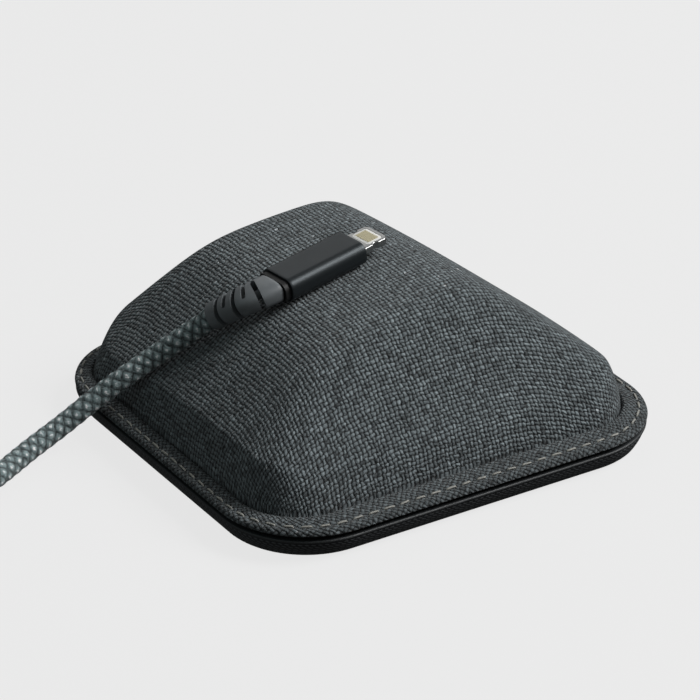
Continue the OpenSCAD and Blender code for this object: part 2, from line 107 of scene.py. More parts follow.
world = bpy.data.worlds.new("surround")
scene.world = world
world.use_nodes = True
world.node_tree.nodes["Background"].inputs["Color"].default_value = tone
t = world.node_tree
upwards = add(t, "ShaderNodeSeparateXYZ", _0=add(t, "ShaderNodeTexCoord").outputs["Generated"]).outputs[2]
sky = add(t, "ShaderNodeMapRange", Value=upwards, From_Min=-0.06, From_Max=0.04, To_Min=0.07, To_Max=0.15)
t.links.new(sky.outputs[0], t.nodes["Background"].inputs["Strength"])


def soft_light(name, place, size, power, colour="#ffffff"):
    lamp = bpy.data.lights.new(name, "AREA")
    lamp.size, lamp.energy, lamp.color = size, power, linear(colour)[:3]
    made = stood(name, lamp)
    made.location = place
    made.rotation_mode = "QUATERNION"
    made.rotation_quaternion = (Vector((0, 0, 0.02)) - Vector(place)).to_track_quat("-Z", "Y")


soft_light("key", (0.78, -0.46, 0.9), 0.6, 16.0)
soft_light("fill", (-0.9, -0.1, 0.8), 0.8, 0.6, "#c8f0f2")
soft_light("back", (0.55, 0.95, 0.7), 0.8, 1.7)

lens = bpy.data.cameras.new("camera")
lens.lens, lens.sensor_width, lens.clip_start, lens.clip_end = 205.7, 36.0, 0.05, 20.0
camera = stood("camera", lens)
camera_at = Vector((-0.3688, -0.5828, 0.3802))
right = Vector((0.8464, -0.5326, 0.0))
ahead = Vector((0.4706, 0.7479, -0.4682)).normalized()
above = right.cross(ahead).normalized()
camera.matrix_world = Matrix.Translation(camera_at) @ Matrix((right, above, -ahead)).transposed().to_4x4()
scene.camera = camera


# ---- Base: grip skin, welt and recess strip ----------------------------------------------------
# A shallow moulded cup of soft black sheet with an embossed grid, wrapped up to a thin lip. Above it a
# black strip sits back under the fabric hem, its near-black partly painted shadow of the gap there. All three run
# round the same rounded square.
hem_w, hem_d, hem_r = 93.2, 89.0, 18.4
crease_front, crease_side, crease_back, crease_r = 6.9, 4.6, 4.0, 12.0
mid_y = (crease_front - crease_back) / 2


def rounded(w, h, r, arcs=9, runs=7):
    """Rounded rectangle in mm about 0, 0, anticlockwise from its right side. arcs and runs count its points."""
    turned, points = [], []
    for x, y, start in ((1, 1, 0), (-1, 1, 90), (-1, -1, 180), (1, -1, 270)):
        a = np.radians(start + np.linspace(0, 90, arcs))
        turned.append(np.stack([x * (w / 2 - r) + r * np.cos(a), y * (h / 2 - r) + r * np.sin(a)], 1))
    for arc, after in zip(turned, turned[1:] + turned[:1]):
        points += [arc, arc[-1] + (after[0] - arc[-1]) * np.linspace(0, 1, runs + 1)[1:-1, None]]
    return np.concatenate(points)


def hem_line(inset):
    return rounded(hem_w - 2 * inset, hem_d - 2 * inset, hem_r - inset, arcs=23, runs=34)


def crease_line(inset=0.0):
    return rounded(hem_w - 2 * (crease_side + inset), hem_d - crease_front - crease_back - 2 * inset,
                   crease_r - inset, arcs=23, runs=34) + [0, mid_y]


def looped(line):
    return np.concatenate([line, line[:1]])


def marks_along(path):
    return np.concatenate([[0], np.cumsum(np.linalg.norm(np.diff(path, axis=0), axis=1))])


def at_height(line, z):
    return np.column_stack([line, np.full(len(line), z) if np.isscalar(z) else z])


def skin(name, rings, poles=(), closed=False, uvs=None, crisp=None):
    """Mesh through equal rings in mm, capped by a fan at each pole. uvs gives (u, v) rows for each ring and pole.
    Edges sharper than crisp degrees stay crisp."""
    n, m = len(rings[0]), len(rings)
    verts = np.concatenate(list(rings) + [np.array([p]) for p in poles]) * MM
    faces, corners = [], []
    for i in range(m if closed else m - 1):
        k = (i + 1) % m
        for j in range(n):
            faces.append((i * n + j, k * n + j, k * n + (j + 1) % n, i * n + (j + 1) % n))
            corners += [(i, j), (k, j), (k, j + 1), (i, j + 1)]
    for k, _ in enumerate(poles):
        ring = (m - 1) * k
        tip = m + k if uvs is not None and len(uvs) > m else ring
        for j in range(n):
            a, b = (j + 1, j) if k else (j, j + 1)
            faces.append((m * n + k, ring * n + a % n, ring * n + b % n))
            corners += [(tip, j), (ring, a), (ring, b)]
    mesh = bpy.data.meshes.new(name)
    mesh.from_pydata(verts.tolist(), [], faces)
    if uvs is not None:
        flat = np.array(uvs)
        layer = mesh.uv_layers.new(name="surface")
        rows, columns = np.array(corners).T
        layer.data.foreach_set("uv", flat[rows, columns].astype(np.float32).ravel())
    mesh.shade_smooth()
    if crisp:
        mesh.set_sharp_from_angle(angle=math.radians(crisp))
    return mesh


def round_and_down(rings):
    """(u, v) rows for a skin: mm along each ring, and mm from ring to ring at its first point."""
    down, rows = 0.0, []
    for i, ring in enumerate(rings):
        if i:
            down += np.linalg.norm(ring[0] - rings[i - 1][0])
        around = marks_along(looped(ring))
        rows.append(np.column_stack([around, np.full(len(around), down)]))
    return rows


def two_tone(tree, mask, dark, light, height, strength, relief_mm, **looks):
    """The finished material: two tones mixed by a mask, on a surface raised by a height, relief_mm at most."""
    shade = add(tree, "ShaderNodeMix", {"data_type": "RGBA"}, _0=mask, _6=linear(dark), _7=linear(light))
    bump = add(tree, "ShaderNodeBump", Strength=strength, Distance=relief_mm * MM, Height=height)
    return shown(tree, add(tree, "ShaderNodeBsdfPrincipled", Base_Color=shade.outputs[2], Normal=bump, **looks))


cup_top, cup_wall = 3.4, 0.9
cup_lip, cup_foot, cup_middle = 0.45, 2.0, 14.0          # insets from the hem's edge
levels = np.linspace(0, 1, 9)


def cup_inset(z):
    return cup_lip + (cup_foot - cup_lip) * (1 - z / cup_top) ** 1.5


outside = [at_height(hem_line(cup_inset(z)), z) for z in 0.5 + levels[::-1] * (cup_top - 0.55)]
wall_in = [at_height(hem_line(cup_inset(z) + cup_wall), z) for z in (cup_wall + levels * (cup_top - 0.95))]
lip_and_foot = [at_height(hem_line(inset), z) for inset, z in (
    (cup_lip + 0.55, cup_top), (cup_lip + 0.2, cup_top), (cup_lip + 0.04, cup_top - 0.03),
    (cup_foot - 0.05, 0.25), (cup_foot + 0.25, 0.03), (cup_foot + 0.9, 0.0), (cup_middle, 0.0))]
cup_rings = [at_height(hem_line(cup_middle), cup_wall)] + wall_in + lip_and_foot[:3] + outside + lip_and_foot[3:]
base_mesh = skin("grip_skin", cup_rings, poles=[(0, 0, cup_wall), (0, 0, 0)], uvs=round_and_down(cup_rings))

# Soft PVC sheet, calendered black and embossed with small raised lozenges in rows: each lozenge top is painted a
# lighter grey as sheen
lozenge_w, lozenge_h = 1.25, 0.62
t = material("embossed black PVC sheet")
uv = add(t, "ShaderNodeUVMap", {"uv_map": "surface"})
cells = add(t, "ShaderNodeVectorMath", "DIVIDE", _0=uv, _1=(lozenge_w, lozenge_h, 1.0))
turned = add(t, "ShaderNodeVectorRotate", {"rotation_type": "Z_AXIS"}, Vector=cells, Angle=math.radians(45))
waves = add(t, "ShaderNodeVectorMath", "SINE",
            _0=add(t, "ShaderNodeVectorMath", "SCALE", _0=turned, Scale=math.pi * 1.414))
parts = add(t, "ShaderNodeSeparateXYZ", _0=waves)
bumps = add(t, "ShaderNodeMath", "MULTIPLY", _0=parts.outputs[0], _1=parts.outputs[1])
raised = add(t, "ShaderNodeMapRange", {"interpolation_type": "SMOOTHSTEP"}, Value=bumps, From_Min=-0.1, From_Max=0.6)
grain = add(t, "ShaderNodeTexNoise", Vector=uv, Scale=6.0, Detail=3.0, Roughness=0.6)
relief = add(t, "ShaderNodeMath", "MULTIPLY_ADD", _0=grain, _1=0.25, _2=raised)
# Painted sheen: the raised mask lightens the lozenge tops
grip_sheet = two_tone(t, raised, "#242628", "#585b5e", relief, 0.7, 0.12, Roughness=0.55, IOR=1.52,
                      Specular_IOR_Level=0.35)
grip = piece("grip_skin", base_mesh, grip_sheet)
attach(grip, "pad")
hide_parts("base_cover")

# The welt is the folded edge of the same sheet, a thin cord of rubber that catches a line of light
t = material("extruded grey-black rubber")
uv = add(t, "ShaderNodeUVMap", {"uv_map": "surface"})
streaks = add(t, "ShaderNodeTexNoise", Vector=add(t, "ShaderNodeMapping", Vector=uv, Scale=(0.5, 6.0, 1.0)),
              Scale=1.5, Detail=3.0)
welt_rubber = two_tone(t, streaks, "#17191a", "#3c4042", streaks, 0.4, 0.1, Roughness=0.5, IOR=1.52)
welt_low, welt_high = 3.45, 4.1
hidden_edge = 1.05           # how far the welt and the strip reach in past the crease
turn = np.radians(np.linspace(90, -90, 9))
half_high = (welt_high - welt_low) / 2
welt_rings = ([at_height(crease_line(hidden_edge), z) for z in (welt_low, welt_high)]
              + [at_height(hem_line(0.15 + half_high * (1 - math.cos(a))), welt_low + half_high * (1 + math.sin(a)))
                 for a in turn])
welt = piece("edge_welt", skin("edge_welt", welt_rings, closed=True, uvs=round_and_down(welt_rings)), welt_rubber)
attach(welt, "pad")
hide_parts("rim_welt")

# Recess strip: flat black tape glued under the hem, almost without shine; its near-black tone also paints the shadow
# of the gap under the hem
t = material("matt black polyester tape")
uv = add(t, "ShaderNodeUVMap", {"uv_map": "surface"})
ribs = add(t, "ShaderNodeTexWave", {"bands_direction": "X"}, Vector=uv, Scale=0.9, Distortion=1.5,
           Detail=2.0).outputs[1]
shadow_black_tape = two_tone(t, ribs, "#0c0d0e", "#1c1e1f", ribs, 0.3, 0.08, Roughness=0.85, IOR=1.5,
                      Specular_IOR_Level=0.25)
strip_low, strip_high = 4.15, 5.05
strip_rings = [at_height(line, z) for line, z in (
    (crease_line(hidden_edge), strip_low), (crease_line(hidden_edge), strip_high), (hem_line(1.25), strip_high),
    (hem_line(1.2), strip_high - 0.1), (hem_line(1.12), (strip_low + strip_high) / 2),
    (hem_line(1.2), strip_low + 0.1), (hem_line(1.25), strip_low))]
strip_mesh = skin("recess_strip", strip_rings, closed=True, uvs=round_and_down(strip_rings))
strip = piece("recess_strip", strip_mesh, shadow_black_tape)
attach(strip, "pad")
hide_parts("rim_binding")


# ---- Fabric cover ------------------------------------------------------------------------------
# One piece of heathered polyester canvas drawn over the filling and turned under at the edge. It rises
# from a deep crease to a gently tilted top, with a flat stitched hem outside the crease.
hem_z, crease_z, cover_t = 5.1, 5.35, 1.1
crease_x, crease_y0, crease_y1 = hem_w / 2 - crease_side, -hem_d / 2 + crease_front, hem_d / 2 - crease_back
shoulder = 3.0               # how far in from the crease the cloth takes to reach its slope
top_z, side_z, front_z, back_z, bulge = 32.8, 10.2, 8.1, 12.75, 1.8
side_rise, front_rise, back_rise = 0.81, 1.17, 2.15
blend_mm = 2.1


def soft_min(values, k):
    low = np.min(values, 0)
    return low - k * np.log(np.sum([np.exp((low - v) / k) for v in values], 0))


def inside(x, y):
    qx = np.abs(x) - (crease_x - crease_r)
    qy = np.abs(y - mid_y) - ((crease_y1 - crease_y0) / 2 - crease_r)
    return crease_r - np.minimum(np.maximum(qx, qy), 0) - np.hypot(np.maximum(qx, 0), np.maximum(qy, 0))


def roof_z(x, y):
    """The four sloping faces and the tilted top, blended where they meet."""
    top = top_z - 0.6 * ((x / 20) ** 2 + ((y - 10) / 24) ** 2) + 0.11 * x
    side = side_z + bulge * np.cos(np.radians(2.25 * (y + 2))) - 0.05 * y + side_rise * (crease_x - np.abs(x))
    front = front_z + bulge * np.cos(np.radians(2.14 * x)) + front_rise * (y - crease_y0)
    back = back_z + back_rise * (crease_y1 - y)
    return soft_min([top, side, front, back], blend_mm)


def mound_z(x, y):
    t = np.clip(1 - np.maximum(0, inside(x, y)) / shoulder, 0, 1)
    return crease_z + (roof_z(x, y) - crease_z) * (1 - t ** 1.6) ** (1 / 1.6)


# Yarn coordinates in mm: how far along the cloth each point is from the middle, across and along
cell, reach = 0.5, 50
gx = np.arange(-reach, reach + 0.01, cell)
grid_x, grid_y = np.meshgrid(gx, gx, indexing="ij")
ground = np.where(inside(grid_x, grid_y) > 0, mound_z(grid_x, grid_y), hem_z + 1.2)


def cumulated(z):
    steps = np.hypot(cell, np.minimum(np.abs(np.diff(z, axis=0)), 2.0))
    total = np.concatenate([np.zeros((1, z.shape[1])), np.cumsum(steps, 0)])
    return total - total[len(gx) // 2]


across, along = cumulated(ground), cumulated(ground.T).T


def sample(table, x, y):
    fx, fy = (np.clip((v + reach) / cell, 0, len(gx) - 1.001) for v in (x, y))
    i, j = fx.astype(int), fy.astype(int)
    u, v = fx - i, fy - j
    return ((1 - u) * (1 - v) * table[i, j] + u * (1 - v) * table[i + 1, j]
            + (1 - u) * v * table[i, j + 1] + u * v * table[i + 1, j + 1])


def yarn_uv(ring):
    x, y = looped(ring)[:, 0], looped(ring)[:, 1]
    return np.column_stack([sample(across, x, y), sample(along, x, y)])


def towards_middle(line, share):
    return np.array([0, mid_y]) + (line - [0, mid_y]) * share


# Hem: shares of the way from crease to edge, and height over its underside. Its inner edge is a crisp fold.
hem_profile = [(0.035, 0.75), (0.075, 1.12), (0.13, 1.32), (0.2, 1.38), (0.3, 1.33), (0.42, 1.24), (0.54, 1.16),
               (0.62, 1.06), (0.66, 1.0), (0.7, 1.05), (0.78, 1.08), (0.86, 1.0), (0.92, 0.86), (0.96, 0.66),
               (0.985, 0.42), (1.0, 0.2), (0.993, 0.06), (0.975, 0.0)]
stitch_share, stitch_pitch = 0.66, 3.45
crease, edge = crease_line(), hem_line(0)
stitch_line = crease + (edge - crease) * stitch_share
stitch_marks = marks_along(looped(stitch_line))
stitch_count = round(stitch_marks[-1] / stitch_pitch)
phase = stitch_marks[:-1] / stitch_marks[-1] * stitch_count       # whole numbers at the needle holes
shares = np.concatenate([[0.04, 0.1, 0.17, 0.24, 0.31, 0.38], np.linspace(0.44, 0.9, 34), np.linspace(0.91, 0.975, 14),
                         np.linspace(0.98, 0.995, 4)])
cover_rings = []
for s in shares:
    flat = towards_middle(crease, s)
    cover_rings.append(at_height(flat, mound_z(flat[:, 0], flat[:, 1])))
cover_rings.append(at_height(crease, crease_z))
for share, rise in hem_profile:
    pull = 0.22 * np.exp(-((share - stitch_share) / 0.1) ** 2) * (0.5 + 0.5 * np.cos(2 * np.pi * phase))
    puff = 0.05 * np.sin(2 * np.pi * (phase - 0.25)) * (0.1 < share < 0.9)
    cover_rings.append(at_height(crease + (edge - crease) * share, hem_z + rise - pull - puff))
cover_rings += [at_height(hem_line(1.4), hem_z), at_height(crease_line(cover_t), hem_z)]
for s in shares[::-4]:
    out = towards_middle(crease, s)
    cover_rings.append(at_height(towards_middle(crease_line(cover_t), s),
                                 np.maximum(hem_z + 0.3, mound_z(out[:, 0], out[:, 1]) - cover_t)))
peak = float(mound_z(np.array(0.0), np.array(mid_y)))
cover_uvs = [yarn_uv(ring) for ring in cover_rings]
bias = math.sqrt(0.5)        # the hem's yarns run at 45 degrees to its edge
hem_down = np.zeros(len(crease) + 1)
hem_rings = range(len(shares) + 1, len(shares) + 2 + len(hem_profile))
for i in hem_rings:
    if i > hem_rings[0]:
        hem_down = hem_down + np.linalg.norm(looped(cover_rings[i] - cover_rings[i - 1]), axis=1)
    cover_uvs[i] = np.column_stack([bias * (stitch_marks - hem_down), bias * (stitch_marks + hem_down)])
middle_uv = np.tile([0, sample(along, 0, mid_y)], (len(crease) + 1, 1))
cover_mesh = skin("cover", cover_rings, poles=[(0, mid_y, peak), (0, mid_y, peak - cover_t)],
                  uvs=cover_uvs + [middle_uv] * 2)

# Plain-woven heather canvas of spun polyester. Each yarn is a loose twist of dark slate and pale grey fibre, so
# its tone changes along its length. The gaps at the crossings are painted almost black as shade.
yarn_x, yarn_y = 0.94, 0.9        # spacing of the yarns, in mm
t = material("heathered polyester canvas")
uv = add(t, "ShaderNodeUVMap", {"uv_map": "surface"})
drift = add(t, "ShaderNodeTexNoise", Vector=uv, Scale=0.35, Detail=3.0, Roughness=0.6).outputs[1]
drift = add(t, "ShaderNodeVectorMath", "SUBTRACT", _0=drift, _1=(0.5, 0.5, 0.5))
wandering = add(t, "ShaderNodeVectorMath", "MULTIPLY_ADD", _0=drift, _1=(1.3, 1.3, 0.0), _2=uv)
yarns = add(t, "ShaderNodeVectorMath", "DIVIDE", _0=wandering, _1=(yarn_x, yarn_y, 1.0))
wave = add(t, "ShaderNodeVectorMath", "SINE", _0=add(t, "ShaderNodeVectorMath", "SCALE", _0=yarns, Scale=math.pi))
ab = add(t, "ShaderNodeSeparateXYZ", _0=wave)
swell = add(t, "ShaderNodeMath", "MULTIPLY", _0=ab.outputs[0], _1=ab.outputs[1])
girth = add(t, "ShaderNodeSeparateXYZ", _0=add(t, "ShaderNodeVectorMath", "ABSOLUTE", _0=wave))
warp, weft = (add(t, "ShaderNodeMath", "MULTIPLY_ADD", _0=girth.outputs[k], _1=0.5,
                  _2=add(t, "ShaderNodeMath", "MULTIPLY", _0=swell, _1=lift))
              for k, lift in ((0, 0.55), (1, -0.55)))
cloth = add(t, "ShaderNodeMath", "SMOOTH_MAX", _0=warp, _1=weft, _2=0.06)
warp_on_top = add(t, "ShaderNodeMath", "GREATER_THAN", _0=warp, _1=weft)
here = add(t, "ShaderNodeSeparateXYZ", _0=yarns)
number = add(t, "ShaderNodeSeparateXYZ", _0=add(t, "ShaderNodeVectorMath", "FLOOR", _0=yarns))
warp_at, weft_at = (add(t, "ShaderNodeCombineXYZ", _0=number.outputs[k], _1=here.outputs[1 - k], _2=apart)
                    for k, apart in ((0, 3.0), (1, 47.0)))
yarn_at = add(t, "ShaderNodeMix", {"data_type": "VECTOR"}, _0=warp_on_top, _4=weft_at, _5=warp_at).outputs[1]
streak_at = add(t, "ShaderNodeVectorMath", "MULTIPLY", _0=yarn_at, _1=(5.13, 0.33, 1.0))
heather = add(t, "ShaderNodeTexNoise", Vector=streak_at, Scale=1.0, Detail=2.0, Roughness=0.75)
fibre_at = add(t, "ShaderNodeVectorMath", "MULTIPLY", _0=uv, _1=(4.5, 4.5, 1.0))
fibres = add(t, "ShaderNodeTexNoise", Vector=fibre_at, Scale=1.0, Detail=2.0, Roughness=0.7)
blend = add(t, "ShaderNodeMath", "MULTIPLY_ADD", _0=fibres, _1=0.35, _2=heather)
tones = add(t, "ShaderNodeValToRGB", _0=blend)
ramp = tones.color_ramp
# From near black to pale grey, and a step up to a few near white fibres
ramp.elements.new(0.8), ramp.elements.new(0.9)
for spot, place, code in zip(ramp.elements, (0.42, 0.92, 0.92, 1.0), ("#070b0d", "#929da1", "#dbdcdd", "#ffffff")):
    spot.position, spot.color = place, linear(code)
# Painted shade: the colour darkens towards black in the gaps between the yarns, where the cloth is lowest
painted_shade = add(t, "ShaderNodeMapRange", {"interpolation_type": "SMOOTHSTEP"}, Value=cloth, From_Min=0.16, From_Max=0.74,
           To_Min=0.05, To_Max=1.0)
height = add(t, "ShaderNodeSeparateXYZ", _0=add(t, "ShaderNodeTexCoord").outputs["Object"]).outputs[2]
# Darker low down: the hem is painted darker, and the foot of the mound at the crease gets painted shade
hem_darkening_and_crease_shade = add(t, "ShaderNodeMapRange", Value=height, From_Min=(hem_z + 1.1) * MM, From_Max=(hem_z + 2.3) * MM,
              To_Min=0.56, To_Max=1.0)
painted_shade = add(t, "ShaderNodeMath", "MULTIPLY", _0=painted_shade, _1=hem_darkening_and_crease_shade)
shade = add(t, "ShaderNodeVectorMath", "SCALE", _0=tones, Scale=painted_shade)
relief = add(t, "ShaderNodeMath", "MULTIPLY_ADD", _0=fibres, _1=0.25, _2=cloth)
bump = add(t, "ShaderNodeBump", Strength=1.0, Distance=0.0004, Height=relief)
canvas = shown(t, add(t, "ShaderNodeBsdfPrincipled", Base_Color=shade, Roughness=0.82, IOR=1.55,
                      Specular_IOR_Level=0.3, Sheen_Weight=0.15, Sheen_Roughness=0.5, Normal=bump))
cover = piece("canvas_cover", cover_mesh, canvas)
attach(cover, "pad")
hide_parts("top_cover")


# ---- Topstitch ---------------------------------------------------------------------------------
# A lockstitch in pale grey polyester thread round the middle of the hem. Each stitch lies on the cloth and
# dives into a needle hole at both ends, where the cloth is drawn down.
stitch_len, thread_r = 2.5, 0.2
stitch_z = hem_z + 1.02 + thread_r * 0.5
t = material("twisted polyester thread")
uv = add(t, "ShaderNodeTexCoord").outputs["Object"]
ply = add(t, "ShaderNodeTexNoise", Vector=uv, Scale=2600.0, Detail=2.0)
thread = two_tone(t, ply, "#5f6462", "#b5b2a9", ply, 0.6, 0.06, Roughness=0.6, IOR=1.55)
stitch = bmesh.new()
stitch_rings = []
for k in range(9):
    a = k / 8 * 2 - 1
    r = thread_r * (1 - abs(a) ** 6 * 0.55)
    drop = -0.5 * max(0, abs(a) - 0.72) / 0.28
    ring = [Vector((a * stitch_len / 2, 1.2 * r * math.cos(b), r * math.sin(b) + drop))
            for b in np.radians(np.arange(0, 360, 60))]
    stitch_rings.append([stitch.verts.new(p * MM) for p in ring])
for low, high in zip(stitch_rings, stitch_rings[1:]):
    for j in range(6):
        stitch.faces.new((low[j], high[j], high[(j + 1) % 6], low[(j + 1) % 6]))
stitch.faces.new(stitch_rings[0])
stitch.faces.new(stitch_rings[-1][::-1])
bmesh.ops.recalc_face_normals(stitch, faces=stitch.faces)
stitch_mesh = bpy.data.meshes.new("one_stitch")
stitch.to_mesh(stitch_mesh)
stitch_mesh.shade_smooth()
one_stitch = piece("one_stitch", stitch_mesh, thread)

line = bpy.data.curves.new("stitch_line", "CURVE")
line.dimensions = "3D"
spline = line.splines.new("POLY")
spline.points.add(len(stitch_line) - 1)
spline.points.foreach_set("co", np.column_stack([at_height(stitch_line, stitch_z) * MM,
                                                 np.ones(len(stitch_line))]).ravel())
spline.use_cyclic_u = True
line_object = stood("stitch_line", line)


def pattern(name, **kinds):
    """An empty Geometry Nodes tree with inputs of these names: the tree, its inputs, and their identifiers."""
    tree = bpy.data.node_groups.new(name, "GeometryNodeTree")
    for way in ("OUTPUT", "INPUT"):
        tree.interface.new_socket("Geometry", in_out=way, socket_type="NodeSocketGeometry")
    keys = {key: tree.interface.new_socket(key, in_out="INPUT", socket_type="NodeSocket" + kind).identifier
            for key, kind in kinds.items()}
    return tree, add(tree, "NodeGroupInput").outputs, keys


def grown(name, tree, placed, keys, values, finish):
    """The instances that the tree places, made real and given their finish, as a plain mesh piece."""
    real = add(tree, "GeometryNodeRealizeInstances", Geometry=placed)
    add(tree, "NodeGroupOutput", Geometry=add(tree, "GeometryNodeSetMaterial", Geometry=real, Material=finish))
    carrier = stood(name, bpy.data.meshes.new(name))
    live = carrier.modifiers.new("made", "NODES")
    live.node_group = tree
    for key, value in values.items():
        live[keys[key]] = value
    bpy.context.view_layer.update()
    mesh = bpy.data.meshes.new_from_object(carrier.evaluated_get(bpy.context.evaluated_depsgraph_get()))
    bpy.data.objects.remove(carrier)
    mesh.name = name
    return piece(name, mesh, finish)


sewing, given, keys = pattern("sewing", Stitches="Int", Line="Object", Stitch="Object")
path = add(sewing, "GeometryNodeObjectInfo", Object=given["Line"]).outputs["Geometry"]
spaced = add(sewing, "GeometryNodeCurveToPoints", {"mode": "COUNT"}, Curve=path, Count=given["Stitches"])
turned = add(sewing, "FunctionNodeAlignRotationToVector", {"axis": "X", "pivot_axis": "Z"},
             Vector=spaced.outputs["Tangent"])
lean = add(sewing, "FunctionNodeRandomValue", {"data_type": "FLOAT_VECTOR"}, Min=(-0.04, -0.05, -0.09),
           Max=(0.04, 0.05, 0.09), Seed=7).outputs["Value"]
leaning = add(sewing, "FunctionNodeRotateRotation", {"rotation_space": "LOCAL"}, Rotation=turned,
              Rotate_By=add(sewing, "FunctionNodeEulerToRotation", Euler=lean))
size = add(sewing, "FunctionNodeRandomValue", {"data_type": "FLOAT_VECTOR"}, Min=(0.9, 0.9, 0.9), Max=(1.05, 1.1, 1.1),
           Seed=11).outputs["Value"]
placed = add(sewing, "GeometryNodeInstanceOnPoints", Points=spaced.outputs["Points"],
             Instance=add(sewing, "GeometryNodeObjectInfo", Object=given["Stitch"]).outputs["Geometry"],
             Rotation=leaning, Scale=size)
topstitch = grown("topstitch_thread", sewing, placed, keys,
                  {"Stitches": stitch_count, "Line": line_object, "Stitch": one_stitch}, thread)
bpy.data.objects.remove(line_object)
bpy.data.objects.remove(one_stitch)
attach(topstitch, "pad")
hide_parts("hem_topstitch")


# ---- Inside the rest ---------------------------------------------------------------------------
# Sealed in the cover: a stiff plastic board and a cast iron weight low down, moulded foam round them, and
# under the top a plastic tray of six nickel-plated disc magnets backed by a zinc-plated steel keeper.
def speckled(name, dark, light, grain_mm, rough, metal=0.0, relief_mm=0.02):
    """A surface mottled between two tones with grains of that size, raised by the same noise."""
    t = material(name)
    place = add(t, "ShaderNodeTexCoord").outputs["Object"]
    grain = add(t, "ShaderNodeTexNoise", Vector=place, Scale=1 / (grain_mm * MM), Detail=4.0, Roughness=0.65)
    polish = add(t, "ShaderNodeMapRange", Value=grain, To_Min=rough - 0.06, To_Max=rough + 0.06)
    return two_tone(t, grain, dark, light, grain, 0.5, relief_mm, Roughness=polish, Metallic=metal)


def finish_node(node, finish):
    """A CAD piece keeps its shape and gets the real finish."""
    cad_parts[node].data.materials.clear()
    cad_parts[node].data.materials.append(finish)


for node, *look in (("base_board", "moulded polypropylene board", "#2b2c2e", "#46484a", 1.2, 0.6),
                    ("ballast_plate", "raw cast iron", "#3f4346", "#7c8286", 0.8, 0.62, 0.9, 0.12),
                    ("foam_core", "moulded polyurethane foam", "#1d2022", "#3a3e41", 0.5, 0.95, 0.0, 0.3),
                    ("magnet_tray", "injection-moulded white ABS", "#c9c9c2", "#e4e4df", 0.9, 0.45),
                    ("keeper_plate", "zinc-plated sheet steel", "#7b8084", "#a9aeb2", 2.5, 0.32, 1.0)):
    finish_node(node, speckled(*look))
nickel = speckled("nickel-plated sintered magnet", "#9fa3a6", "#cfd2d4", 0.7, 0.22, 1.0, 0.01)
for k in range(1, 7):
    finish_node(f"magnet_{k}", nickel)


# ---- Phone plug --------------------------------------------------------------------------------
# An extruded aluminium sleeve, blasted and anodised black, with a flat top and rounded sides. A stamped steel
# tab with a white insulator and gold pads stands out of its front, and a dark joint shows behind it.
nose, sleeve_w, sleeve_h, sleeve_r = 9.25, 9.2, 4.8, 2.0           # nose is half the sleeve's length
plug_x, plug_y, sleeve_gap = -8.6, 2.2, 0.453                      # the gap keeps the sleeve off the cloth
plug_mid = Vector((plug_x, plug_y, float(mound_z(np.array(plug_x), np.array(plug_y))) + sleeve_h / 2 + sleeve_gap))
plug_turn = Matrix.Rotation(math.radians(7.5), 3, "Z") @ Matrix.Rotation(math.radians(-7), 3, "Y")


def in_plug(ring):
    return np.array(ring) @ np.array(plug_turn).T + np.array(plug_mid)


def upright(x, section):
    return np.column_stack([np.full(len(section), x), section])


def sleeve_section(inset):
    s = rounded(sleeve_w - 2 * inset, sleeve_h - 2 * inset, sleeve_r - inset, arcs=15)
    seam = np.exp(-((s[:, 1] + 1.15) / 0.07) ** 2) * 0.05      # fine parting line low on both sides
    return s * (1 - seam / (sleeve_w / 2))[:, None]


slot = rounded(6.85, 1.65, 0.7, arcs=15)
sleeve_rings = [upright(x, s) for x, s in (
    [(nose - 1.2, slot), (nose - 0.06, slot), (nose, slot * 1.02), (nose, sleeve_section(0.3)),
     (nose, sleeve_section(0.16)), (nose - 0.05, sleeve_section(0.05)), (nose - 0.16, sleeve_section(0.0))]
    + [(x, sleeve_section(0.0)) for x in np.linspace(nose - 0.6, -nose + 0.6, 12)]
    + [(-nose + 0.12, sleeve_section(0.0)), (-nose + 0.03, sleeve_section(0.04)), (-nose, sleeve_section(0.12)),
       (-nose, sleeve_section(0.55)), (-nose + 0.1, sleeve_section(0.6)), (-nose + 3.0, sleeve_section(0.6))])]
sleeve = skin("plug_sleeve", [in_plug(r)[::-1] for r in sleeve_rings],
              poles=[in_plug((nose - 1.2, 0, 0)), in_plug((-nose + 3.0, 0, 0))], crisp=40)

# Black anodised aluminium, fine-blasted: dark, with a soft satin sheen along the rounded sides
t = material("black anodised aluminium")
place = add(t, "ShaderNodeTexCoord").outputs["Object"]
blast = add(t, "ShaderNodeTexNoise", Vector=place, Scale=9000.0, Detail=2.0)
handled = add(t, "ShaderNodeTexNoise", Vector=place, Scale=320.0, Detail=4.0)
polish = add(t, "ShaderNodeMapRange", Value=handled, To_Min=0.36, To_Max=0.44)
anodised = two_tone(t, blast, "#25292b", "#31373a", blast, 0.12, 0.02, Metallic=0.55, Roughness=polish)
sleeve = piece("plug_sleeve", sleeve, anodised)
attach(sleeve, "lead")
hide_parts("plug_shell")
joint_black = speckled("matt black joint plastic", "#060707", "#0f1011", 0.3, 0.6)
finish_node("plug_joint_ring", joint_black)
finish_node("plug_inner_mould", joint_black)
finish_node("plug_board", speckled("lacquered circuit board", "#17472d", "#2a6b45", 0.6, 0.35))

# Tab: a frame of stainless steel, 1.5 mm thick, with rounded corners and a latch notch in each side
tab_l, tab_w, tab_t = 6.6, 6.7, 1.5
window_x, window_l, window_w = nose + tab_l - 2.75, 3.9, 5.3      # middle, length and width of the window
angles = np.linspace(0, 2 * np.pi, 145)[:-1]


def by_angle(points):
    """The outline's points at the fixed angles round the window's middle."""
    a = np.unwrap(np.arctan2(points[:, 1], points[:, 0]))
    order = np.argsort(a % (2 * np.pi))
    a, r = (a % (2 * np.pi))[order], np.hypot(*points.T)[order]
    a, r = np.concatenate([a[-1:] - 2 * np.pi, a, a[:1] + 2 * np.pi]), np.concatenate([r[-1:], r, r[:1]])
    radius = np.interp(angles, a, r)
    return np.stack([radius * np.cos(angles), radius * np.sin(angles)], 1)


